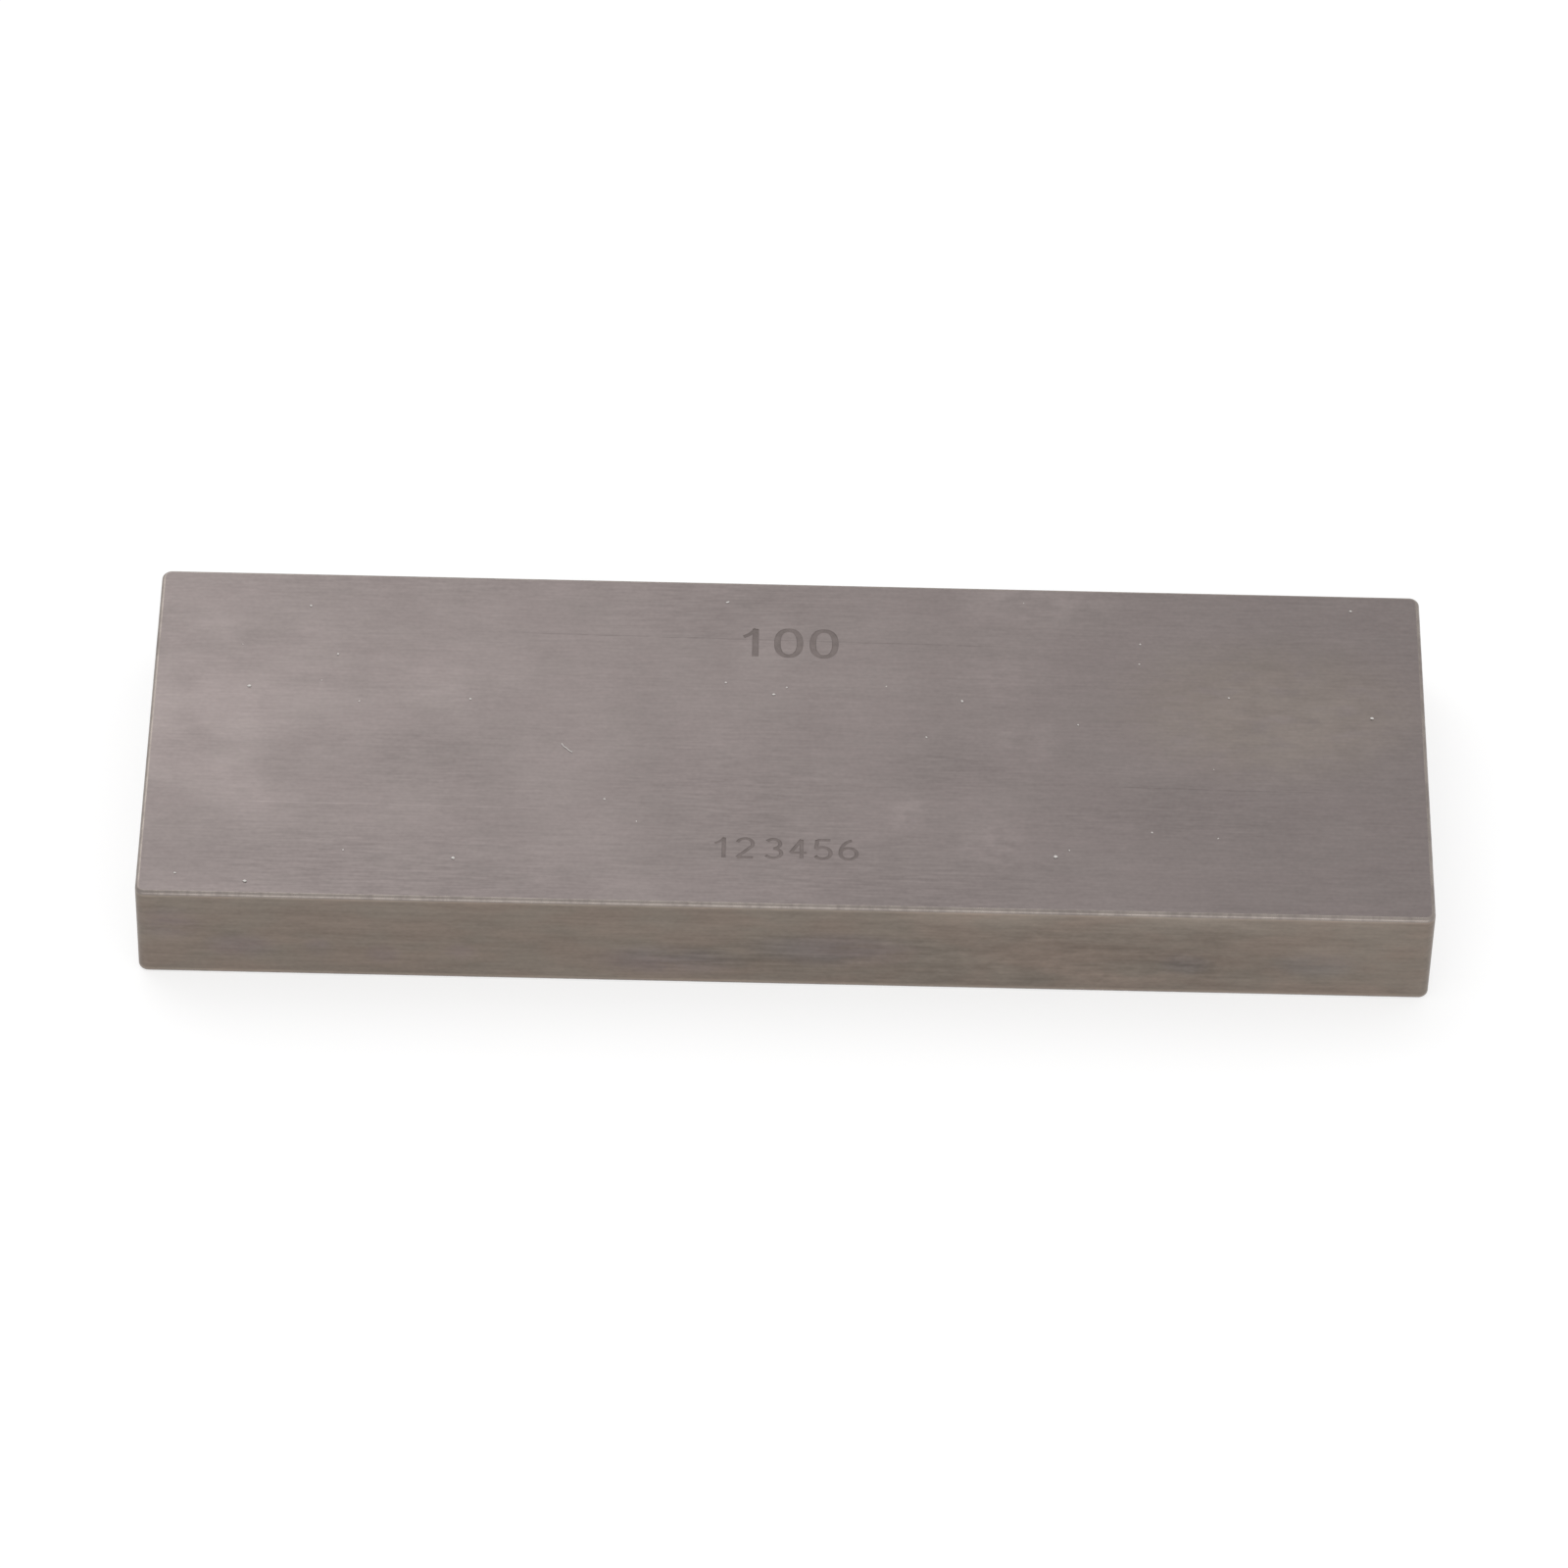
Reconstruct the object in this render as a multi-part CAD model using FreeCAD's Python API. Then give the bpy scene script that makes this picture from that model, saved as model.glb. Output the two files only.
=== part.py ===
"""Rectangular gauge block: one hardened, ground and lapped bar of gauge steel.

Frame: millimetres.  The block lies on a wide side face.  X runs along the
gauge length, from one measuring face to the other, Y across the width and Z
up through the thickness.  The origin is the middle of the underside.

The bar is rounded in two stages, as on the bench.  First the four short
edges that stand at the corners of the plan are rounded generously.  Then one
fine break is run right round the rim of each wide side face.  It follows the
rounded corners, so the break turns every corner tangentially and leaves the
long edges and the measuring faces' long sides crisp.
"""
import FreeCAD, Part
import os

# Driving dimensions, millimetres
GAUGE_LENGTH = 100.0        # between the two measuring faces
SECTION_WIDTH = 35.0        # across the wide side faces
SECTION_THICKNESS = 9.0     # across the narrow side faces
CORNER_RADIUS = 0.8         # the four short edges, seen in plan
RIM_BREAK_RADIUS = 0.3      # the break round each wide side face
FLATNESS = 1e-6             # how far an edge may stray from the plane it lies in

NODE = "gauge_block"


def ground_bar():
    """The square-edged bar, as it comes off the surface grinder."""
    corner = FreeCAD.Vector(-GAUGE_LENGTH / 2, -SECTION_WIDTH / 2, 0)
    return Part.makeBox(GAUGE_LENGTH, SECTION_WIDTH, SECTION_THICKNESS, corner)


def lies_level(edge):
    """Whether an edge keeps one height all along."""
    return edge.BoundBox.ZLength < FLATNESS


def round_corners(bar):
    """Round the four short edges that run through the thickness."""
    upright = [edge for edge in bar.Edges if not lies_level(edge)]
    return bar.makeFillet(CORNER_RADIUS, upright)


def break_rims(bar):
    """Break the whole rim of the top and of the underside, corners included."""
    rim = [edge for edge in bar.Edges if lies_level(edge)]
    return bar.makeFillet(RIM_BREAK_RADIUS, rim)


def gauge_block():
    """The finished block, as a single solid."""
    return break_rims(round_corners(ground_bar())).Solids[0]


def export(solid):
    """Write the solid as STEP, once it is known to be sound."""
    if not solid.isValid():
        raise ValueError(NODE + " is not a valid solid")
    solid.exportStep("parts/" + NODE + ".step")
    print(NODE, "volume mm3", round(solid.Volume, 3), solid.BoundBox)


os.makedirs("parts", exist_ok=True)
export(gauge_block())
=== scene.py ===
import logging
import math
import random
from dataclasses import dataclass, field
from enum import Enum
from typing import Callable, Iterable, Sequence

import bmesh
import bpy
from mathutils import Euler, Matrix, Vector


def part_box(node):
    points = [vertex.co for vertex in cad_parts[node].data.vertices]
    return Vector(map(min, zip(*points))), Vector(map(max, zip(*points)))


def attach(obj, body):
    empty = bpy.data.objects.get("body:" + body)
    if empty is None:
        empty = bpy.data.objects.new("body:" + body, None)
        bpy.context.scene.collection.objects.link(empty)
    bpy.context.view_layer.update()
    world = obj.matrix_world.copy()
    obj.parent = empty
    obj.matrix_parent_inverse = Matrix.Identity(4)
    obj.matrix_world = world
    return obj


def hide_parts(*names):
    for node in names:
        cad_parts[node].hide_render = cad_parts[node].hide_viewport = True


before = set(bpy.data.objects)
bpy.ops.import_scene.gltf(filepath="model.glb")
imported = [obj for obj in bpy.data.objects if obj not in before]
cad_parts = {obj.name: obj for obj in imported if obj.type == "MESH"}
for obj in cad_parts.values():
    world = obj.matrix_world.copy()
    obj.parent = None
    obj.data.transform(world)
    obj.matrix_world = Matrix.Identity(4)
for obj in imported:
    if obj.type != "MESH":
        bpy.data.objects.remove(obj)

LOG = logging.getLogger("gauge_block")

MM = 0.001
ENDLESS = 1000.0            # a pattern this long, in millimetres, does not change over the block
THROUGH = 40.0              # half the depth of a patch, in millimetres: more than the block's own
NODE = "gauge_block"
BODY = "root"

Socket = bpy.types.NodeSocket
Piece = bpy.types.Object
Material = bpy.types.Material
Colour = tuple[float, float, float]
Point = tuple[float, float]
Place = tuple[float, float, float]

WHITE: Colour = (1.0, 1.0, 1.0)


def scaled(parts: Sequence[float], factor: float) -> tuple[float, ...]:
    """Return a colour, place or size with each part multiplied by a factor."""
    return tuple(factor * part for part in parts)


# ---- Shader graphs ----


class Graph:
    """A node tree of a material or of the world, with a short method for each kind of node."""

    def __init__(self, owner: Material | bpy.types.World, output: str) -> None:
        """Start an empty tree.

        Args:
            owner: the material or world whose tree it is.
            output: the type of its output node, without its "ShaderNode" prefix.
        """
        owner.use_nodes = True
        self.owner = owner
        self.tree = owner.node_tree
        self.tree.nodes.clear()
        self.output = self.tree.nodes.new("ShaderNode" + output)
        self.place: Socket | None = None

    @classmethod
    def of_material(cls, name: str) -> "Graph":
        """Return the empty tree of a new material, with a socket of its object's coordinates.

        Args:
            name: the material's name.

        Returns:
            The tree.
        """
        graph = cls(bpy.data.materials.new(name), "OutputMaterial")
        graph.place = graph.tree.nodes.new("ShaderNodeTexCoord").outputs["Object"]
        return graph

    def feed(self, socket: Socket, value: object) -> None:
        """Link a socket to another socket, or set it to a plain value.

        Args:
            socket: the input socket.
            value: an output socket, a number, or the parts of a colour or vector.
        """
        if isinstance(value, Socket):
            self.tree.links.new(value, socket)
        elif socket.type == "RGBA":
            socket.default_value = (*value, 1.0)
        else:
            socket.default_value = value

    def node(self, kind: str, settings: dict | None = None, **inputs: object) -> bpy.types.Node:
        """Add a node.

        Args:
            kind: the node's type, without its "ShaderNode" prefix.
            settings: attributes to set on the node itself.
            **inputs: socket values by name, with underscores for spaces.

        Returns:
            The new node.
        """
        made = self.tree.nodes.new("ShaderNode" + kind)
        for key, value in (settings or {}).items():
            setattr(made, key, value)
        for key, value in inputs.items():
            self.feed(made.inputs[key.replace("_", " ")], value)
        return made

    def step(self, kind: str, operation: str, *values: object, clamp: bool = False) -> Socket:
        """Add one step of arithmetic.

        Args:
            kind: "Math" for numbers, "VectorMath" for vectors.
            operation: what the step does.
            *values: what it works on, from one to three sockets or plain values.
            clamp: whether the result is held between zero and one.

        Returns:
            The result's socket.
        """
        made = self.node(kind, {"operation": operation})
        if clamp:
            made.use_clamp = True
        for socket, value in zip(made.inputs, values):
            self.feed(socket, value)
        return made.outputs[0]

    def math(self, operation: str, *values: object, clamp: bool = False) -> Socket:
        """Return the result of one step of arithmetic on numbers."""
        return self.step("Math", operation, *values, clamp=clamp)

    def mapped(self, size: Sequence[float], centre: Sequence[float] = (0.0, 0.0, 0.0),
               turn: Sequence[float] = (0.0, 0.0, 0.0)) -> Socket:
        """Return object coordinates about a centre, turned and then divided by sizes.

        Args:
            size: the length along each axis that counts as one, in millimetres.
            centre: the place that becomes the origin, in millimetres.
            turn: the turn about each axis, in radians.

        Returns:
            The coordinates' socket.
        """
        moved = self.step("VectorMath", "SUBTRACT", self.place, scaled(centre, MM))
        turned = self.node("Mapping", {"vector_type": "POINT"}, Vector=moved, Rotation=turn)
        return self.step("VectorMath", "DIVIDE", turned.outputs[0], scaled(size, MM))

    def noise(self, size: Sequence[float] | float, detail: float = 2.0, roughness: float = 0.5,
              **where: Sequence[float]) -> Socket:
        """Return smooth noise from zero to one.

        Args:
            size: the size of its spots, in millimetres, or their size along each axis.
            detail: how many finer layers it has.
            roughness: how strong each finer layer is beside the one before.
            **where: its centre and turn, as mapped takes them.

        Returns:
            The noise's socket.
        """
        spot = (size,) * 3 if isinstance(size, float) else size
        made = self.node("TexNoise", None, Vector=self.mapped(spot, **where), Scale=1.0,
                         Detail=detail, Roughness=roughness)
        return made.outputs["Fac"]

    def between(self, value: Socket, low: float, high: float,
                to_low: float = 0.0, to_high: float = 1.0) -> Socket:
        """Return a value smoothly remapped from one range to another, held at the ends.

        Args:
            value: the value's socket.
            low: the start of its range.
            high: the end of its range.
            to_low: the result at the start.
            to_high: the result at the end.

        Returns:
            The result's socket.
        """
        made = self.node("MapRange", {"interpolation_type": "SMOOTHSTEP"}, Value=value,
                         From_Min=low, From_Max=high, To_Min=to_low, To_Max=to_high)
        return made.outputs["Result"]

    def mixed(self, amount: object, first: object, second: object, blend: str = "MIX") -> Socket:
        """Return a blend of two colours.

        Args:
            amount: the share of the second colour.
            first: the colour below.
            second: the colour laid over it.
            blend: the way that they blend.

        Returns:
            The colour's socket.
        """
        made = self.node("Mix", {"data_type": "RGBA", "blend_type": blend})
        colours = [socket for socket in made.inputs if socket.type == "RGBA"]
        for socket, value in zip((made.inputs[0], *colours), (amount, first, second)):
            self.feed(socket, value)
        return next(socket for socket in made.outputs if socket.type == "RGBA")

    def looking(self) -> Socket:
        """Return one for a look at the surface, straight or by metal or glass, and zero for light.

        Returns:
            The socket.
        """
        path = self.node("LightPath").outputs
        direct = self.math("ADD", path["Is Camera Ray"], path["Is Glossy Ray"], clamp=True)
        return self.math("ADD", direct, path["Is Transmission Ray"], clamp=True)

    def finish(self, shader: bpy.types.Node) -> Material | bpy.types.World:
        """Wire the last shader to the output, and return the finished material or world."""
        self.tree.links.new(shader.outputs[0], self.output.inputs["Surface"])
        return self.owner

    def metal(self, colour: object, rough: object, relief: Socket, strength: float,
              depth: float, **more: object) -> Material:
        """Finish the material as bare metal.

        Args:
            colour: its colour.
            rough: its roughness.
            relief: the height of its fine relief, from zero to one.
            strength: how strongly the relief turns the light.
            depth: the relief's full depth, in millimetres.
            **more: further sockets of the shader, by name.

        Returns:
            The material.
        """
        bump = self.node("Bump", None, Strength=strength, Distance=depth * MM, Height=relief)
        return self.finish(self.node("BsdfPrincipled", None, Base_Color=colour, Roughness=rough,
                                     Metallic=1.0, Normal=bump.outputs[0], **more))


# ---- Finishes: every length in this part is in millimetres ----


class Surface(Enum):
    """The finished surfaces of the block, in the order of its material slots."""

    WIDE_SIDE = 0
    NARROW_SIDE = 1
    MEASURING_FACE = 2
    EDGE_BREAK = 3
    ETCHED_MARK = 4


@dataclass(frozen=True)
class Grain:
    """One layer of noise drawn out along the block: its length, pitch and strength."""

    length: float
    pitch: float
    depth: float
    detail: float = 1.0


@dataclass(frozen=True)
class SmearAndSheen:
    """A soft patch on a side, torn by streaks or wisps; most are oily wipe marks or rubbed spots,
    a few are painted reflection.
    """

    centre: Point
    size: Point
    shade: float
    tear: Point = (2.5, 0.25)


@dataclass(frozen=True)
class Film:
    """A soft patch of oil film that shifts the colour of the steel under it."""

    centre: Point
    size: Point
    tint: Colour


@dataclass(frozen=True)
class Scratch:
    """A single long scratch, nearly straight along the block, on a wide side."""

    start: Point
    end: Point
    shade: float
    width: float = 0.10
    wander: float = 0.12
    bend_length: float = 4.0
    skip_length: float = 2.0
    taper: float = 0.7


@dataclass(frozen=True)
class GroundSteel:
    """Steel ground along its length: fine streaks, soft clouds, a few wipe marks and some painted
    light.
    """

    name: str
    surface: Surface
    colour: Colour
    roughness: float
    draw: float
    layers: tuple[Grain, ...]
    warm: Colour
    cool: Colour
    hue_size: float = 5.0
    wear_size: float = 9.0
    wear: float = 0.02
    cut_stretch: float = 8.0
    cut_depth: float = 0.003
    # A painted highlight along a narrow side's long edges: its strength, its full and faded
    # widths, and the side's thickness.
    edge_highlight: float = 0.0
    border: Point = (0.32, 0.62)
    thickness: float = 0.0
    smears_and_sheen: tuple[SmearAndSheen, ...] = ()
    films: tuple[Film, ...] = ()
    scratches: tuple[Scratch, ...] = ()

    def in_space(self, spot: Point, through: float) -> Place:
        """Return a place or size on the side as one in space.

        Args:
            spot: its parts along the block and up or across the side.
            through: its part along the axis that goes through the side.

        Returns:
            The three parts.
        """
        along, across = spot
        if self.surface is Surface.WIDE_SIDE:
            return along, across, through
        return along, through, across

    def patch(self, graph: Graph, spot: SmearAndSheen | Film, core: float) -> Socket:
        """Return how fully a soft round patch covers the steel.

        Args:
            graph: the material's tree.
            spot: the patch.
            core: the share of the way in from its edge at which it is full.

        Returns:
            One in the patch's core, fading to zero at its edge.
        """
        ball = graph.node("TexGradient", {"gradient_type": "SPHERICAL"},
                          Vector=graph.mapped(self.in_space(spot.size, THROUGH),
                                              self.in_space(spot.centre, 0.0)))
        return graph.between(ball.outputs["Fac"], 0.0, core)

    def edge_highlight_mask(self, graph: Graph) -> Socket:
        """Return where a thin painted highlight runs along both long edges of the side.

        Args:
            graph: the material's tree.

        Returns:
            One on the line and zero off it.
        """
        half, (full, gone) = self.thickness * MM / 2, scaled(self.border, MM)
        place = graph.node("SeparateXYZ", None, Vector=graph.place)
        middle = graph.math("SUBTRACT", place.outputs["Z"], half)
        inset = graph.math("SUBTRACT", half, graph.math("ABSOLUTE", middle))
        return graph.between(inset, full, gone, 1.0, 0.0)

    def smear_and_sheen_mask(self, graph: Graph, smear_and_sheen: SmearAndSheen) -> Socket:
        """Return where one patch lies: a wipe mark, or a light patch of painted reflection.

        Args:
            graph: the material's tree.
            smear_and_sheen: the patch.

        Returns:
            One on the patch and zero off it.
        """
        length, pitch = smear_and_sheen.tear
        torn = graph.between(graph.noise((length, pitch, pitch)), 0.3, 0.65)
        return graph.math("MULTIPLY", self.patch(graph, smear_and_sheen, 0.8), torn)

    def scored(self, graph: Graph, scratch: Scratch) -> Socket:
        """Return where one scratch runs.

        Args:
            graph: the material's tree.
            scratch: the scratch.

        Returns:
            One on the scratch and zero off it.
        """
        start, end = Vector(scratch.start), Vector(scratch.end)
        run = end - start
        place = graph.mapped((run.length / 2, scratch.width, ENDLESS), (*(start + end) / 2, 0.0),
                             (0.0, 0.0, -math.atan2(run.y, run.x)))
        parts = graph.node("SeparateXYZ", None, Vector=place).outputs
        drift = graph.noise((scratch.bend_length, ENDLESS, ENDLESS))
        offset = graph.math("MULTIPLY_ADD", graph.math("SUBTRACT", drift, 0.5),
                            2.0 * scratch.wander / scratch.width, parts["Y"])
        across = graph.between(graph.math("ABSOLUTE", offset), 0.0, 1.0, 1.0, 0.0)
        along = graph.between(graph.math("ABSOLUTE", parts["X"]), scratch.taper, 1.0, 1.0, 0.0)
        skips = graph.between(graph.noise((scratch.skip_length, ENDLESS, ENDLESS)), 0.3, 0.55)
        return graph.math("MULTIPLY", graph.math("MULTIPLY", across, along), skips)

    def filmed(self, graph: Graph, colour: object, film: Film) -> Socket:
        """Return the colour with one patch of oil film laid over it.

        Args:
            graph: the material's tree.
            colour: the colour so far.
            film: the film.

        Returns:
            The colour.
        """
        cloud = graph.between(graph.noise((3.0, 1.5, 1.0)), 0.25, 0.55, 0.4, 1.0)
        amount = graph.math("MULTIPLY", self.patch(graph, film, 0.6), cloud)
        return graph.mixed(amount, colour, graph.mixed(1.0, colour, film.tint, "MULTIPLY"))

    def shade(self, graph: Graph) -> Socket:
        """Return the brightness of streaks, clouds, marks, scratches and painted light, about one.

        Args:
            graph: the material's tree.

        Returns:
            The brightness.
        """
        marks = []
        for layer in self.layers:
            cut = graph.noise((layer.length, layer.pitch, layer.pitch), layer.detail)
            marks.append((graph.math("SUBTRACT", cut, 0.5), layer.depth * 2.0))
        # A painted highlight along both long edges of a narrow side.
        if self.edge_highlight:
            marks.append((self.edge_highlight_mask(graph), self.edge_highlight))
        # The patches: wipe marks, and a few light patches of painted reflection.
        marks += [(self.smear_and_sheen_mask(graph, smear_and_sheen), smear_and_sheen.shade) for smear_and_sheen in self.smears_and_sheen]
        marks += [(self.scored(graph, scratch), scratch.shade) for scratch in self.scratches]
        total: object = 1.0
        for amount, strength in marks:
            total = graph.math("MULTIPLY_ADD", amount, strength, total)
        return total

    def steel(self, graph: Graph) -> Socket:
        """Return the steel's own colour, warmer and cooler in places, under its oil films.

        Args:
            graph: the material's tree.

        Returns:
            The colour.
        """
        spot = (self.hue_size, self.hue_size * 0.6, self.hue_size * 0.4)
        hue = graph.between(graph.noise(spot, centre=(13.0, 7.0, 0.0)), 0.35, 0.65)
        colour = graph.mixed(1.0, self.colour, graph.mixed(hue, self.warm, self.cool), "MULTIPLY")
        for film in self.films:
            colour = self.filmed(graph, colour, film)
        return colour

    def make(self) -> Material:
        """Build the material.

        Returns:
            The material.
        """
        graph = Graph.of_material(self.name)
        colour = graph.mixed(1.0, self.steel(graph), self.shade(graph), "MULTIPLY")
        worn = graph.noise(self.wear_size, centre=(0.0, 20.0, 10.0))
        rough = graph.between(worn, 0.3, 0.7, self.roughness - self.wear,
                              self.roughness + self.wear)
        fine = self.layers[0]
        cut = graph.noise((fine.length * self.cut_stretch, fine.pitch, fine.pitch), 4.0, 0.7)
        along = graph.node("CombineXYZ", None, X=1.0, Y=0.0, Z=0.0)
        return graph.metal(colour, rough, cut, 0.3, self.cut_depth, Anisotropic=self.draw,
                           Anisotropic_Rotation=0.25, Tangent=along.outputs[0])


@dataclass(frozen=True)
class LappedSteel:
    """The measuring faces: lapped until they mirror, with the faintest hairlines."""

    name: str = "lapped_measuring_face"
    colour: Colour = (0.42, 0.395, 0.38)
    roughness: float = 0.09
    hairline_pitch: float = 0.09
    hairline_length: float = 5.0
    hairline_angles: tuple[float, ...] = (20.0, -35.0, 78.0)

    def make(self) -> Material:
        """Build the material.

        Returns:
            The material.
        """
        graph = Graph.of_material(self.name)
        hatch: object = 0.0
        for angle in self.hairline_angles:
            lines = graph.noise((ENDLESS, self.hairline_length, self.hairline_pitch),
                                turn=(math.radians(angle), 0.0, 0.0))
            hatch = graph.math("ADD", hatch, graph.between(lines, 0.62, 0.72), clamp=True)
        film = graph.noise((4.0, 4.0, 3.0), 3.0)
        colour = graph.mixed(graph.between(film, 0.3, 0.75), self.colour,
                             scaled(self.colour, 0.93))
        clean = graph.between(film, 0.3, 0.8, self.roughness, self.roughness + 0.05)
        return graph.metal(colour, graph.math("MULTIPLY_ADD", hatch, 0.08, clean), hatch,
                           0.12, 0.001)


@dataclass(frozen=True)
class BrokenEdge:
    """Edges that were stoned by hand: uneven, and lighter than the ground sides, partly for their
    polish and partly as a painted highlight.
    """

    name: str = "broken_edge"
    # Partly a painted highlight: the light colour of the highlight line along the rims.
    polish_and_highlight: Colour = (0.285, 0.250, 0.228)
    dull: Colour = (0.218, 0.190, 0.175)
    roughness: float = 0.3
    nick_length: float = 0.7
    run_length: float = 7.0

    def make(self) -> Material:
        """Build the material.

        Returns:
            The material.
        """
        graph = Graph.of_material(self.name)
        nick = (self.nick_length, self.nick_length * 2, self.nick_length * 2)
        nicks = graph.noise(nick, 3.0, 0.7)
        runs = graph.math("MULTIPLY", graph.noise(self.run_length), 0.5)
        share = graph.between(graph.math("MULTIPLY_ADD", nicks, 0.7, runs), 0.42, 0.72)
        rough = graph.between(nicks, 0.3, 0.7, self.roughness + 0.08, self.roughness - 0.05)
        return graph.metal(graph.mixed(share, self.dull, self.polish_and_highlight), rough, nicks, 0.4, 0.01)


@dataclass(frozen=True)
class EtchedSteel:
    """The floor and walls of an etched mark: darker and matt."""

    name: str = "etched_mark"
    colour: Colour = (0.160, 0.136, 0.130)
    roughness: float = 0.5
    pit_size: float = 0.09
    drift_size: float = 0.8

    def make(self) -> Material:
        """Build the material.

        Returns:
            The material.
        """
        graph = Graph.of_material(self.name)
        pits = graph.noise(self.pit_size)
        drift = graph.math("MULTIPLY", graph.noise(self.drift_size), 0.6)
        share = graph.between(graph.math("MULTIPLY_ADD", pits, 0.4, drift), 0.3, 0.7)
        colour = graph.mixed(share, scaled(self.colour, 0.88), scaled(self.colour, 1.14))
        return graph.metal(colour, self.roughness, pits, 0.3, 0.004)


@dataclass(frozen=True)
class PaleDust:
    """Lint and grit: pale, matt and slightly mottled."""

    name: str = "pale_dust"
    colour: Colour = (0.72, 0.69, 0.66)
    roughness: float = 0.9
    mottle_size: float = 0.06

    def make(self) -> Material:
        """Build the material.

        Returns:
            The material.
        """
        graph = Graph.of_material(self.name)
        colour = graph.mixed(graph.noise(self.mottle_size, 1.0), scaled(self.colour, 0.75),
                             self.colour)
        return graph.finish(graph.node("BsdfPrincipled", None, Base_Color=colour,
                                       Roughness=self.roughness, Metallic=0.0))


# ---- Modelling helpers ----


def pick_nothing() -> None:
    """Deselect every object."""
    bpy.ops.object.select_all(action="DESELECT")


def pick(piece: Piece) -> None:
    """Make one object the only selected and the active one.

    Args:
        piece: the object.
    """
    pick_nothing()
    piece.select_set(True)
    bpy.context.view_layer.objects.active = piece


def edit(piece: Piece) -> None:
    """Start to edit an object's mesh, with all of it selected.

    Args:
        piece: the object.
    """
    pick(piece)
    bpy.ops.object.mode_set(mode="EDIT")
    bpy.ops.mesh.select_mode(type="EDGE")
    bpy.ops.mesh.select_all(action="SELECT")


def end_edit() -> None:
    """Stop editing the mesh."""
    bpy.ops.object.mode_set(mode="OBJECT")


def settle(piece: Piece) -> None:
    """Put an object's place, turn and scale into its mesh."""
    pick(piece)
    bpy.ops.object.transform_apply(location=True, rotation=True, scale=True)


def put(name: str, data: bpy.types.ID) -> Piece:
    """Add an object to the scene.

    Args:
        name: its name.
        data: its curve, light or camera.

    Returns:
        The object.
    """
    piece = bpy.data.objects.new(name, data)
    bpy.context.scene.collection.objects.link(piece)
    return piece


def thread(name: str, points: Sequence[Sequence[float]], kind: str = "POLY",
           closed: bool = False) -> Piece:
    """Add a curve, flat where its points have no height.

    Args:
        name: its name.
        points: the places that it goes through or follows.
        kind: the type of its spline.
        closed: whether it ends where it starts.

    Returns:
        The curve's object.
    """
    curve = bpy.data.curves.new(name, "CURVE")
    curve.dimensions = "2D" if len(points[0]) == 2 else "3D"
    spline = curve.splines.new(kind)
    spline.points.add(len(points) - 1)
    for point, place in zip(spline.points, points):
        point.co = (*place, 0.0, 1.0) if len(place) == 2 else (*place, 1.0)
    spline.use_cyclic_u = closed
    return put(name, curve)


def to_mesh(piece: Piece, place: Sequence[float]) -> Piece:
    """Turn a curve into a mesh that stands at a place.

    Args:
        piece: the curve's object.
        place: where its origin goes.

    Returns:
        The mesh's object.
    """
    pick(piece)
    bpy.ops.object.convert(target="MESH")
    piece = bpy.context.view_layer.objects.active
    piece.location = place
    settle(piece)
    return piece


def select_edges(piece: Piece, wanted: Callable[[bmesh.types.BMEdge], bool]) -> None:
    """Select the edges of the mesh in edit mode that pass a test.

    Args:
        piece: the object in edit mode.
        wanted: the test of one edge.
    """
    bpy.ops.mesh.select_all(action="DESELECT")
    form = bmesh.from_edit_mesh(piece.data)
    for edge in form.edges:
        if wanted(edge):
            edge.select_set(True)
    form.select_flush_mode()
    bmesh.update_edit_mesh(piece.data)


def apply_modifier(piece: Piece, kind: str, **settings: object) -> None:
    """Add a modifier to an object, set it and apply it.

    Args:
        piece: the object.
        kind: the modifier's type.
        **settings: its settings by name.
    """
    pick(piece)
    bpy.ops.object.modifier_add(type=kind)
    modifier = piece.modifiers[-1]
    for key, value in settings.items():
        setattr(modifier, key, value)
    bpy.ops.object.modifier_apply(modifier=modifier.name)


def join(pieces: Sequence[Piece], name: str) -> Piece:
    """Join objects into one and name it.

    Args:
        pieces: the objects.
        name: the name of the whole.

    Returns:
        The joined object.
    """
    pick(pieces[0])
    for piece in pieces:
        piece.select_set(True)
    bpy.ops.object.join()
    joined = bpy.context.view_layer.objects.active
    joined.name = joined.data.name = name
    return joined


# ---- Etched numerals ----


@dataclass(frozen=True)
class Stroke:
    """One stroke of a numeral: the line down its middle, in shares of the half cell."""

    points: tuple[Point, ...]
    closed: bool = False
    slim: float = 1.0

    def weights(self, level: float) -> list[float]:
        """Return each point's share of the full stroke, thinnest where it runs level.

        Args:
            level: the share of a stroke that runs level.

        Returns:
            One share for each point.
        """
        count = len(self.points)
        shares = []
        for index in range(count):
            before = self.points[index - 1 if self.closed else max(index - 1, 0)]
            after = self.points[(index + 1) % count if self.closed else min(index + 1, count - 1)]
            rise, run = abs(after[1] - before[1]), abs(after[0] - before[0])
            shares.append(self.slim * (level + (1.0 - level) * rise / math.hypot(rise, run)))
        return shares


def straight(*points: Point, slim: float = 1.0) -> Stroke:
    """Return a stroke through corners."""
    return Stroke(tuple(points), slim=slim)


def swell(share: float, fullness: float) -> float:
    """Return a sine or cosine pushed outwards, so that an ellipse fills its corners."""
    return math.copysign(abs(share) ** (2.0 / fullness), share)


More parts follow.
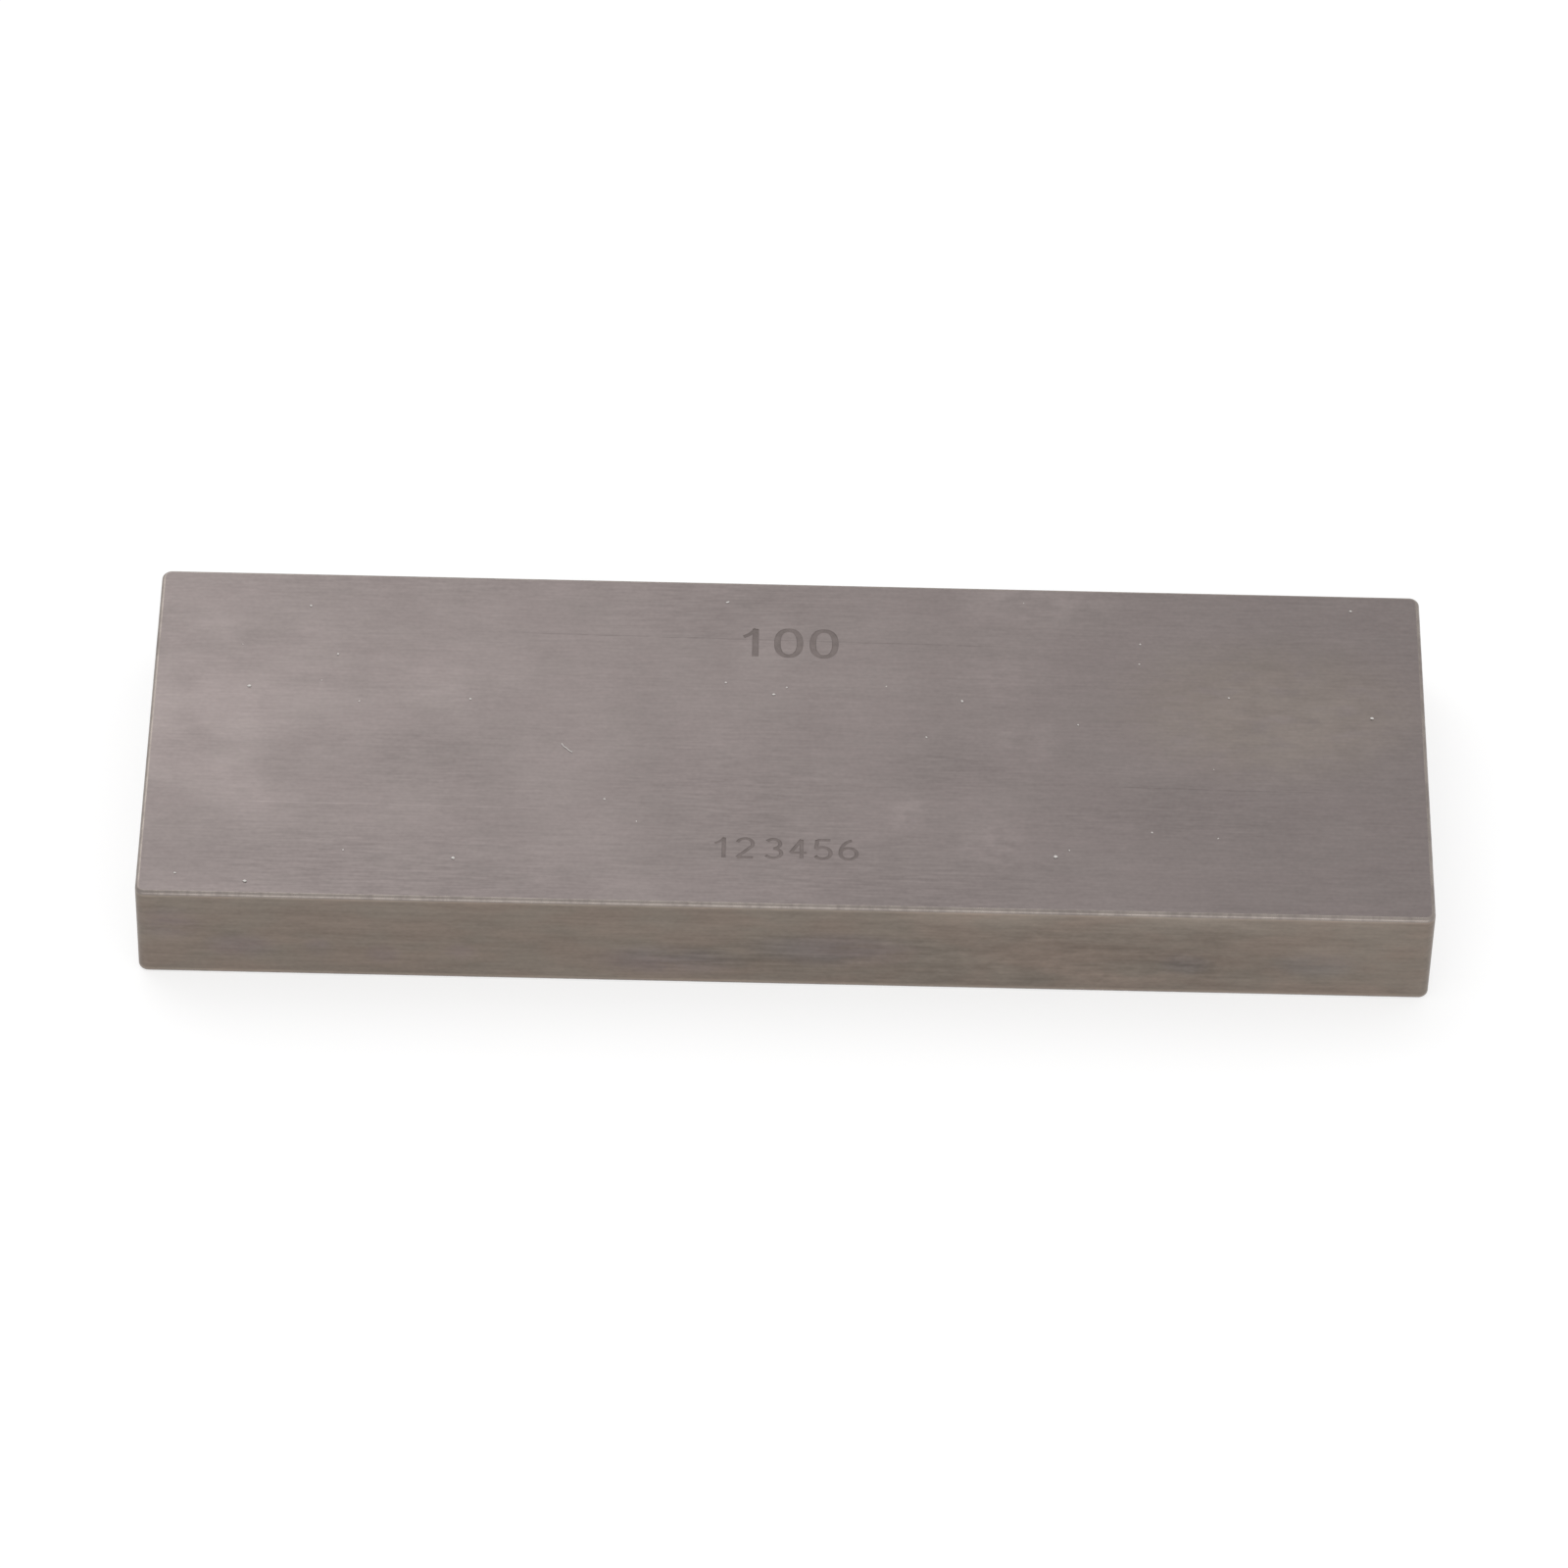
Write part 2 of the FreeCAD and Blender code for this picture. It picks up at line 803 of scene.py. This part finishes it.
def bow(centre: Point, radii: Point, start: float, end: float, tail: Iterable[Point] = (),
        lead: Iterable[Point] = (), steps: int = 20, fullness: float = 2.0) -> Stroke:
    """Return a stroke along part of an ellipse.

    Args:
        centre: the ellipse's centre.
        radii: its half width and half height.
        start: the angle where the stroke starts, in degrees.
        end: the angle where it ends.
        tail: points that the stroke goes on to.
        lead: points that it comes from.
        steps: the number of straight steps along the ellipse.
        fullness: 2 for an ellipse, and more for one that fills its corners.

    Returns:
        The stroke, closed where it goes all the way round.
    """
    closed = abs(end - start) >= 360.0
    count = steps if closed else steps + 1
    turn = [math.radians(start + (end - start) * index / steps) for index in range(count)]
    round_part = [(centre[0] + radii[0] * swell(math.cos(a), fullness),
                   centre[1] + radii[1] * swell(math.sin(a), fullness)) for a in turn]
    return Stroke((*lead, *round_part, *tail), closed)


class Numeral(Enum):
    """The strokes of each numeral that the block carries."""

    ZERO = (bow((0, 0), (1, 1), 90, 450, steps=48, fullness=2.35),)
    ONE = (straight((0.62, -1.08), (0.62, 1.06)),
           straight((-1.45, 0.42), (-0.5, 0.60), (0.3, 0.86), (0.7, 1.05), slim=0.80))
    TWO = (bow((0, 0.45), (0.95, 0.55), 165, -30, tail=((-1.0, -1.0),)),
           straight((-1.0, -1.0), (1.0, -1.0)))
    THREE = (bow((-0.05, 0.5), (0.85, 0.5), 150, -90), bow((-0.05, -0.5), (1.0, 0.5), 90, -150))
    FOUR = (straight((0.35, 1.0), (-1.0, -0.4)), straight((-1.0, -0.4), (1.0, -0.4)),
            straight((0.35, 1.0), (0.35, -1.0)))
    FIVE = (straight((-0.7, 1.0), (0.9, 1.0)), straight((-0.7, 1.0), (-0.85, 0.05)),
            bow((-0.05, -0.38), (1.0, 0.62), 145, -150))
    SIX = (bow((0, -0.4), (1.0, 0.6), 90, 450, steps=32), bow((0.6, -0.4), (1.6, 1.4), 180, 97))


@dataclass(frozen=True)
class Line:
    """One line of numerals on the top face."""

    numerals: tuple[Numeral, ...]
    centres: tuple[float, ...]
    middle: float
    height: float
    width: float
    stroke: float
    level: float
    narrow: float = 0.62


@dataclass
class EtchedMarks:
    """Cutters for the nominal size and the six plain digits, sunk into the top face."""

    top: float
    depth: float = 0.03 * MM
    proud: float = 0.02 * MM
    merge: float = 0.0005 * MM
    lines: tuple[Line, ...] = (
        Line(numerals=(Numeral.ONE, Numeral.ZERO, Numeral.ZERO),
             centres=(-3.01 * MM, -0.1 * MM, 2.7 * MM), middle=10.8 * MM, height=3.34 * MM,
             width=2.28 * MM, stroke=0.50 * MM, level=0.78),
        Line(numerals=(Numeral.ONE, Numeral.TWO, Numeral.THREE, Numeral.FOUR, Numeral.FIVE,
                       Numeral.SIX),
             centres=(-5.05 * MM, -3.2 * MM, -0.99 * MM, 0.94 * MM, 2.82 * MM, 4.8 * MM),
             middle=-11.45 * MM, height=2.28 * MM, width=1.56 * MM, stroke=0.30 * MM,
             level=0.88),
    )

    def groove_section(self, stroke: float) -> Piece:
        """Add the section of a groove, narrower at its floor.

        Args:
            stroke: the groove's full width.

        Returns:
            A closed curve.
        """
        half = stroke / 2
        floor, brim = half - self.depth, half + self.proud
        corners = ((-floor, -self.depth), (floor, -self.depth), (brim, self.proud),
                   (-brim, self.proud))
        return thread("groove_section", corners, closed=True)

    def cutter(self, stroke: Stroke, line: Line, centre: float, half_width: float,
               section: Piece) -> Piece:
        """Add one stroke's cutter as a closed mesh.

        Args:
            stroke: the stroke to sweep.
            line: the line of numerals that it belongs to.
            centre: where the numeral stands along the block.
            half_width: half the width of the stroke's middle line.
            section: the groove's section.

        Returns:
            The cutter.
        """
        half_height = (line.height - line.stroke) / 2
        piece = thread("stroke", [(across * half_width, up * half_height)
                                  for across, up in stroke.points], closed=stroke.closed)
        curve = piece.data
        curve.fill_mode = "NONE"
        curve.bevel_mode = "OBJECT"
        curve.bevel_object = section
        curve.use_fill_caps = not stroke.closed
        for point, weight in zip(curve.splines[0].points, stroke.weights(line.level)):
            point.radius = weight
        return to_mesh(piece, (centre, line.middle, self.top))

    def build(self) -> Piece:
        """Build all the cutters.

        Returns:
            The cutters as one object.
        """
        made = []
        for line in self.lines:
            section = self.groove_section(line.stroke)
            for numeral, centre in zip(line.numerals, line.centres):
                slim = line.narrow if numeral is Numeral.ONE else 1.0
                half_width = (line.width * slim - line.stroke) / 2
                for stroke in numeral.value:
                    made.append(self.cutter(stroke, line, centre, half_width, section))
            bpy.data.objects.remove(section)
        cutters = join(made, "mark_cutters")
        edit(cutters)
        bpy.ops.mesh.remove_doubles(threshold=self.merge)
        bpy.ops.mesh.normals_make_consistent(inside=False)
        end_edit()
        return cutters


# ---- The block ----


@dataclass
class Block:
    """The steel bar, with its rounded corners, broken rims and etched marks."""

    low: Vector
    high: Vector
    corner_radius: float = 0.8 * MM
    corner_steps: int = 12
    rim_radius: float = 0.3 * MM
    rim_steps: int = 6
    level: float = 1e-6
    flat: float = 0.9999
    merge: float = 0.001 * MM
    smooth_below_deg: float = 35.0
    sheet_name: str = "OFBake"
    sheet_margin: float = 0.5 * MM
    marks: EtchedMarks = field(init=False)

    def __post_init__(self) -> None:
        """Set the marks on the top face."""
        self.marks = EtchedMarks(top=self.high.z)

    def bar(self) -> Piece:
        """Add the square-edged bar at its size and place.

        Returns:
            The bar.
        """
        pick_nothing()
        bpy.ops.mesh.primitive_cube_add(size=1.0, location=(self.low + self.high) / 2)
        piece = bpy.context.view_layer.objects.active
        piece.name = piece.data.name = "ground_block"
        piece.scale = self.high - self.low
        settle(piece)
        return piece

    def lies_level(self, edge: bmesh.types.BMEdge) -> bool:
        """Return whether an edge keeps one height from end to end."""
        return abs(edge.verts[0].co.z - edge.verts[1].co.z) < self.level

    def round_edges(self, piece: Piece) -> None:
        """Round the four upright corners, then break both rims all the way round.

        Args:
            piece: the square-edged bar.
        """
        edit(piece)
        select_edges(piece, lambda edge: not self.lies_level(edge))
        bpy.ops.mesh.bevel(offset=self.corner_radius, segments=self.corner_steps, profile=0.5,
                           affect="EDGES")
        select_edges(piece, self.lies_level)
        bpy.ops.mesh.bevel(offset=self.rim_radius, segments=self.rim_steps, profile=0.5,
                           affect="EDGES")
        end_edit()

    def etch(self, piece: Piece) -> None:
        """Cut the marks into the top face, and clean up the slivers that the cut leaves.

        Args:
            piece: the rounded bar.
        """
        cutters = self.marks.build()
        apply_modifier(piece, "BOOLEAN", object=cutters, operation="DIFFERENCE", solver="EXACT",
                       use_self=True)
        bpy.data.objects.remove(cutters)
        edit(piece)
        bpy.ops.mesh.remove_doubles(threshold=self.merge)
        bpy.ops.mesh.dissolve_degenerate(threshold=self.merge)
        end_edit()

    def inside_rim(self, centre: Vector) -> bool:
        """Tell whether a point lies well inside the top face, away from the rim.

        Args:
            centre: the point.

        Returns:
            True inside.
        """
        inset = 2.0 * self.rim_radius
        return all(self.low[axis] + inset < centre[axis] < self.high[axis] - inset
                   for axis in (0, 1))

    def etched(self, face: bpy.types.MeshPolygon) -> bool:
        """Return whether a face is the floor or a wall of an etched mark.

        Args:
            face: the face.

        Returns:
            True where it looks up from just below the top face.
        """
        lowest, highest = self.high.z - 1.5 * self.marks.depth, self.high.z - self.level
        looks_up = face.normal.z > 0.5
        return looks_up and lowest < face.center.z < highest and self.inside_rim(face.center)

    def surface_of(self, face: bpy.types.MeshPolygon) -> Surface:
        """Find which finished surface a face belongs to.

        Args:
            face: the face.

        Returns:
            The surface.
        """
        if self.etched(face):
            return Surface.ETCHED_MARK
        if abs(face.normal.z) > self.flat:
            return Surface.WIDE_SIDE
        if abs(face.normal.x) > self.flat:
            return Surface.MEASURING_FACE
        if abs(face.normal.z) < 1.0 - self.flat:
            return Surface.NARROW_SIDE
        return Surface.EDGE_BREAK

    def dress(self, piece: Piece, finishes: dict[Surface, Material]) -> None:
        """Give every face its finish and smooth the roundings.

        Args:
            piece: the etched block.
            finishes: the material of each surface.
        """
        piece.data.materials.clear()
        for surface in Surface:
            piece.data.materials.append(finishes[surface])
        for face in piece.data.polygons:
            face.material_index = self.surface_of(face).value
        pick(piece)
        bpy.ops.object.shade_smooth_by_angle(angle=math.radians(self.smooth_below_deg))
        apply_modifier(piece, "WEIGHTED_NORMAL", mode="FACE_AREA", weight=100, keep_sharp=True)

    def lay_out(self, piece: Piece) -> None:
        """Lay the six sides out flat on one square sheet, each at the same scale.

        Args:
            piece: the dressed block.
        """
        size, margin = self.high - self.low, self.sheet_margin
        longest = size.x + 2 * margin
        narrow_row, end_row = 2 * size.y, 2 * size.y + 2 * size.z
        starts = {(2, 1): margin, (2, -1): size.y + 2 * margin,
                  (1, -1): narrow_row + 3 * margin, (1, 1): narrow_row + size.z + 4 * margin,
                  (0, -1): end_row + 5 * margin, (0, 1): end_row + 5 * margin}
        sheet = piece.data.uv_layers.new(name=self.sheet_name)
        for face in piece.data.polygons:
            axis = max(range(3), key=lambda index: abs(face.normal[index]))
            side = (axis, 1 if face.normal[axis] > 0 else -1)
            over = size.y + margin if side == (0, 1) else 0.0
            for corner in face.loop_indices:
                point = piece.data.vertices[piece.data.loops[corner].vertex_index].co - self.low
                across = point.y if axis == 0 else point.x
                up = point.y if axis == 2 else point.z
                sheet.data[corner].uv = ((across + over + margin) / longest,
                                         (up + starts[side]) / longest)

    def build(self, finishes: dict[Surface, Material]) -> Piece:
        """Build the block.

        Args:
            finishes: the material of each surface.

        Returns:
            The finished block.
        """
        piece = self.bar()
        self.round_edges(piece)
        self.etch(piece)
        self.dress(piece, finishes)
        self.lay_out(piece)
        return piece


# ---- Dust ----


@dataclass(frozen=True)
class Speck:
    """One speck of grit or lint on the top face, in millimetres, and how long it is drawn."""

    x: float
    y: float
    size: float = 0.17
    stretch: float = 1.3


@dataclass
class Dust:
    """The specks and the lint that lie on the top face."""

    low: Vector
    high: Vector
    seed: int = 41
    strays: int = 9
    stray_size: Point = (0.06, 0.11)
    stray_stretch: Point = (1.0, 2.2)
    stray_inset: float = 1.0
    flatness: float = 0.42
    sunk: float = 0.8
    unevenness: Point = (0.72, 1.12)
    hair_length: float = 1.1 * MM
    hair_radius: float = 0.035 * MM
    hair_place: Point = (-17.3 * MM, -1.2 * MM)
    hair_path: tuple[Point, ...] = ((-0.35, 0.42), (-0.25, 0.15), (0.0, -0.02), (0.14, -0.22),
                                    (0.4, -0.42))
    specks: tuple[Speck, ...] = (
        Speck(-38.0, 13.8), Speck(-35.6, 8.5), Speck(-42.4, 4.8, 0.24), Speck(-33.7, 3.4, 0.13),
        Speck(-25.0, 3.9), Speck(-25.7, -13.2, 0.24), Speck(-41.6, -16.1, 0.24),
        Speck(-47.0, -15.4), Speck(-34.2, -12.6, 0.13), Speck(-5.0, 15.2, 0.15, 2.2),
        Speck(-5.0, 6.3, 0.15), Speck(-0.2, 5.9, 0.13), Speck(-1.2, 5.1, 0.20),
        Speck(13.6, 4.8, 0.20), Speck(10.8, 0.8, 0.14), Speck(-14.2, -6.6, 0.15),
        Speck(20.8, -11.7, 0.27), Speck(45.8, 3.9, 0.24), Speck(44.5, 15.7, 0.17),
        Speck(34.6, 5.8, 0.14), Speck(27.7, 11.5, 0.14), Speck(27.6, 9.3, 0.13),
        Speck(28.3, -8.9, 0.14),
    )

    def lump(self, speck: Speck, draw: random.Random) -> Piece:
        """Add one speck: a small uneven lump that rests on the face.

        Args:
            speck: its place and size.
            draw: the source of its unevenness.

        Returns:
            The lump.
        """
        pick_nothing()
        half = speck.size / 2 * MM
        bpy.ops.mesh.primitive_ico_sphere_add(
            subdivisions=2, radius=half,
            location=(speck.x * MM, speck.y * MM, self.high.z + half * self.flatness * self.sunk))
        piece = bpy.context.view_layer.objects.active
        piece.scale = (speck.stretch, 1.0, self.flatness)
        piece.rotation_euler = Euler((0.0, 0.0, draw.uniform(0.0, math.pi)))
        for point in piece.data.vertices:
            point.co *= draw.uniform(*self.unevenness)
        settle(piece)
        return piece

    def hair(self) -> Piece:
        """Add the one short hair of lint, curled and lying on the face.

        Returns:
            The hair.
        """
        piece = thread("lint", [(across * self.hair_length, up * self.hair_length,
                                 self.hair_radius) for across, up in self.hair_path], "NURBS")
        curve = piece.data
        curve.bevel_depth = self.hair_radius
        curve.bevel_resolution = 2
        curve.use_fill_caps = True
        curve.splines[0].order_u = 3
        curve.splines[0].use_endpoint_u = True
        return to_mesh(piece, (*self.hair_place, self.high.z))

    def scattered(self, draw: random.Random) -> list[Speck]:
        """Choose the small stray specks, thinly scattered over the face.

        Args:
            draw: the source of their places and sizes.

        Returns:
            The specks.
        """
        low, high = self.low / MM, self.high / MM
        inset = self.stray_inset
        return [Speck(draw.uniform(low.x + inset, high.x - inset),
                      draw.uniform(low.y + inset, high.y - inset),
                      draw.uniform(*self.stray_size), draw.uniform(*self.stray_stretch))
                for _ in range(self.strays)]

    def build(self, finish: Material) -> Piece:
        """Build the dust.

        Args:
            finish: the material of the specks.

        Returns:
            All the specks as one object.
        """
        draw = random.Random(self.seed)
        lumps = [self.lump(speck, draw) for speck in (*self.specks, *self.scattered(draw))]
        piece = join([*lumps, self.hair()], "dust_specks")
        piece.data.materials.clear()
        piece.data.materials.append(finish)
        pick(piece)
        bpy.ops.object.shade_smooth()
        return piece


# ---- Studio ----


@dataclass(frozen=True)
class Softbox:
    """A white rectangular studio light aimed at the block, its place and size in metres."""

    name: str
    place: Place
    size: Point
    watts: float

    def build(self, target: Vector) -> Piece:
        """Add the light.

        Args:
            target: the point that it faces.

        Returns:
            The light's object.
        """
        lamp = bpy.data.lights.new(self.name, "AREA")
        lamp.shape = "RECTANGLE"
        lamp.size, lamp.size_y = self.size
        lamp.energy = self.watts
        holder = put(self.name, lamp)
        holder.location = self.place
        holder.rotation_euler = (Vector(self.place) - target).to_track_quat("Z", "Y").to_euler()
        return holder


@dataclass
class Studio:
    """A white floor, soft light and the camera."""

    target: Vector
    azimuth_deg: float = -0.38
    elevation_deg: float = 46.47
    roll_deg: float = 1.526
    distance: float = 0.6693
    lens: float = 195.6
    clip: Point = (0.01, 100.0)
    nudge: Point = (-0.253 * MM, -0.196 * MM)
    floor_half: float = 6.0
    floor_paint: float = 0.9
    floor_veil: float = 0.5
    floor_white: float = 1.25
    room_white: float = 1.0
    room_light: float = 0.85
    lights: tuple[Softbox, ...] = (
        Softbox("back_panel", (-0.40, 0.74, 0.86), (0.9, 0.9), 2.4),
        Softbox("front_panel", (-0.05, -1.2, 0.30), (1.8, 0.55), 2.9),
    )

    def camera(self) -> Piece:
        """Add the camera and make it the scene's.

        Returns:
            The camera's object.
        """
        azimuth, elevation, roll = (math.radians(angle) for angle in (
            self.azimuth_deg, self.elevation_deg, self.roll_deg))
        back = Vector((math.sin(azimuth) * math.cos(elevation),
                       -math.cos(azimuth) * math.cos(elevation), math.sin(elevation)))
        right = Vector((math.cos(azimuth), math.sin(azimuth), 0.0))
        up = back.cross(right)
        across = right * math.cos(roll) + up * math.sin(roll)
        above = up * math.cos(roll) - right * math.sin(roll)
        lens = bpy.data.cameras.new("camera")
        lens.lens = self.lens
        lens.clip_start, lens.clip_end = self.clip
        holder = put("camera", lens)
        turn = Matrix((across, above, back)).transposed().to_4x4()
        place = self.target + back * self.distance + across * self.nudge[0] + above * self.nudge[1]
        holder.matrix_world = Matrix.Translation(place) @ turn
        bpy.context.scene.camera = holder
        return holder

    def floor(self) -> Piece:
        """Add the floor, which looks white but keeps the block's shadow.

        Returns:
            The floor.
        """
        pick_nothing()
        bpy.ops.mesh.primitive_plane_add(size=2 * self.floor_half)
        plane = bpy.context.view_layer.objects.active
        plane.name = "floor"
        graph = Graph.of_material("white_floor")
        paint = graph.node("BsdfDiffuse", None, Color=(self.floor_paint,) * 3)
        glow = graph.node("Emission", None, Color=WHITE, Strength=self.floor_white)
        both = graph.node("MixShader", None,
                          Fac=graph.math("MULTIPLY", graph.looking(), self.floor_veil))
        graph.feed(both.inputs[1], paint.outputs[0])
        graph.feed(both.inputs[2], glow.outputs[0])
        material = graph.finish(both)
        material.cycles.emission_sampling = "NONE"
        plane.data.materials.append(material)
        return plane

    def room(self) -> bpy.types.World:
        """Light the room evenly, and show it white.

        Returns:
            The room's world.
        """
        world = bpy.data.worlds.new("room")
        bpy.context.scene.world = world
        world.cycles.sampling_method = "NONE"
        graph = Graph(world, "OutputWorld")
        strength = graph.math("MULTIPLY_ADD", graph.looking(), self.room_white - self.room_light,
                              self.room_light)
        return graph.finish(graph.node("Background", None, Color=WHITE, Strength=strength))

    def build(self) -> None:
        """Build the studio, with plain colours and no film look."""
        bpy.context.scene.view_settings.view_transform = "Standard"
        self.camera()
        self.floor()
        self.room()
        for light in self.lights:
            light.build(self.target)


# ---- Making ----


# Streaks, patches and scratches, in millimetres.  A place is measured from the frame's origin:
# along the block, then across a wide side or up a narrow one.
WIDE_GRAINS = (
    Grain(0.32, 0.26, 0.066, detail=0), Grain(1.5, 0.23, 0.062, detail=0), Grain(7, 0.32, 0.067),
    Grain(3.5, 1.5, 0.05, detail=2), Grain(14, 1.1, 0.03), Grain(9, 6, 0.06, detail=3),
)
NARROW_GRAINS = (
    Grain(0.35, 0.20, 0.07, detail=0), Grain(2.5, 0.22, 0.085, detail=0), Grain(10, 0.40, 0.10),
    Grain(1.5, 0.75, 0.06, detail=2), Grain(18, 1.3, 0.10), Grain(5, 2.2, 0.09, detail=2),
)
# Of these patches, the first two, light ones on the left of the top face, are painted reflection.
WIDE_SMEARS_AND_SHEEN = (
    SmearAndSheen((-47, 3), (20, 17), 0.19, (6, 4)), SmearAndSheen((-29, 6), (11, 8), 0.09, (4, 2.5)),
    SmearAndSheen((-5, 15), (16, 5), -0.10), SmearAndSheen((-30, -15), (26, 7), -0.13),
    SmearAndSheen((10, -15), (16, 9), -0.11), SmearAndSheen((-30, 18), (26, 4.5), -0.07),
    SmearAndSheen((-28, -3.5), (9, 6), -0.09), SmearAndSheen((-4, -8), (14, 14), -0.12),
    SmearAndSheen((30, -7), (18, 5), -0.09), SmearAndSheen((13, -2.5), (8, 4), -0.09),
    SmearAndSheen((-38, -12.5), (10, 5), -0.04), SmearAndSheen((20, 16), (9, 4.5), 0.15, (2, 1.2)),
    SmearAndSheen((18.5, 0.2), (4, 4), 0.12, (1.6, 1.1)), SmearAndSheen((9.3, -7.2), (2.2, 3), 0.16, (1.3, 0.9)),
    SmearAndSheen((16, -10.5), (4.5, 3.5), 0.13, (1.6, 1)),
    SmearAndSheen((-41, -7.3), (4.5, 3.5), 0.08, (1.6, 1.1)), SmearAndSheen((17, 8), (6, 5), 0.10, (1.6, 1.1)),
    SmearAndSheen((40, 3), (16, 10), 0.11, (2.4, 1.6)),
)
# Of these patches, the light bands along the top at (26, 8.4) and along the bottom at (44, 1.2)
# are painted reflection.
NARROW_SMEARS_AND_SHEEN = (
    SmearAndSheen((-2, 3.4), (18, 3.6), -0.27, (5, 0.5)), SmearAndSheen((-11.5, 3.4), (2.2, 0.6), -0.15),
    SmearAndSheen((5.5, 2.7), (1.3, 0.45), 0.28, (0.6, 0.15)),
    SmearAndSheen((31.7, 3.6), (3.6, 2.6), -0.16, (0.9, 0.5)),
    SmearAndSheen((24.5, 1.6), (6, 1.8), 0.14, (0.9, 0.6)), SmearAndSheen((20, 4), (34, 9), -0.16, (1.8, 0.7)),
    SmearAndSheen((16, 3), (6, 3), 0.14, (1.6, 0.6)), SmearAndSheen((44, 1.2), (14, 1.8), 0.12, (3, 1)),
    SmearAndSheen((26, 8.4), (30, 2.6), 0.34, (8, 1.5)), SmearAndSheen((44, 5), (14, 8), 0.12, (8, 3)),
)
WIDE_FILMS = (
    Film((38, 4.5), (16, 10), (1.004, 1.002, 0.945)),
)
NARROW_FILMS = (
    Film((-47.5, 5.6), (3.5, 2.6), (0.985, 0.985, 1.08)),
    Film((-42, 3.2), (4, 2.2), (0.99, 0.985, 1.08)),
    Film((-36, 3.2), (1.6, 1.6), (0.985, 0.985, 1.06)),
    Film((-31, 2.6), (2, 1.6), (0.985, 0.985, 1.06)),
    Film((-25, 3), (1.8, 1.4), (0.985, 0.985, 1.06)),
    Film((-9, 2.6), (8, 2.4), (0.970, 0.980, 1.09)),
    Film((4, 4.2), (9, 2.8), (0.955, 0.980, 1.09)), Film((31, 3.4), (3, 2), (0.950, 0.985, 1.06)),
    Film((41, 3.6), (5, 2.2), (0.955, 0.990, 1.06)), Film((22, 4.6), (8, 5), (1.02, 0.995, 0.99)),
)
WIDE_SCRATCHES = (
    Scratch((-24, 11.35), (20, 10.9), -0.20), Scratch((-44, -7.6), (-17, -7.7), 0.16),
    Scratch((24, -4.1), (43, -4.3), -0.16),
)


def finishes(thickness: float) -> dict[Surface, Material]:
    """Build the material of each surface of the block.

    Args:
        thickness: the block's thickness in millimetres.

    Returns:
        The materials.
    """
    wide = GroundSteel(
        "ground_wide_side", Surface.WIDE_SIDE, colour=(0.2080, 0.1790, 0.1730), roughness=0.30,
        draw=0.85, layers=WIDE_GRAINS, warm=(1.003, 0.999, 1.000), cool=(0.997, 1.001, 0.998),
        smears_and_sheen=WIDE_SMEARS_AND_SHEEN, films=WIDE_FILMS, scratches=WIDE_SCRATCHES)
    # The narrow sides' steel is a little darker and warmer than the wide sides': painted
    # reflection of darker, warmer surroundings. The light lines along their long edges are a
    # painted highlight.
    narrow = GroundSteel(
        "ground_narrow_side", Surface.NARROW_SIDE, colour=(0.2050, 0.1700, 0.1440), roughness=0.34,
        draw=0.80, layers=NARROW_GRAINS, warm=(1.016, 0.994, 0.985), cool=(0.978, 1.002, 1.000),
        hue_size=6.0, edge_highlight=0.34, thickness=thickness, smears_and_sheen=NARROW_SMEARS_AND_SHEEN, films=NARROW_FILMS)
    return {
        Surface.WIDE_SIDE: wide.make(),
        Surface.NARROW_SIDE: narrow.make(),
        Surface.MEASURING_FACE: LappedSteel().make(),
        Surface.EDGE_BREAK: BrokenEdge().make(),
        Surface.ETCHED_MARK: EtchedSteel().make(),
    }


def note(piece: Piece) -> None:
    """Report a finished piece."""
    LOG.info("%s: %d faces", piece.name, len(piece.data.polygons))


def main() -> None:
    """Build the studio and the dressed block, and log each piece's face count.
    """
    logging.basicConfig(level=logging.INFO, format="%(name)s %(message)s")
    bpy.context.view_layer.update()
    low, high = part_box(NODE)
    Studio(target=(low + high) / 2).build()
    block = Block(low, high).build(finishes((high.z - low.z) / MM))
    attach(block, BODY)
    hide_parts(NODE)
    note(block)
    dust = Dust(low, high).build(PaleDust().make())
    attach(dust, BODY)
    note(dust)


if __name__ == "__main__":
    main()
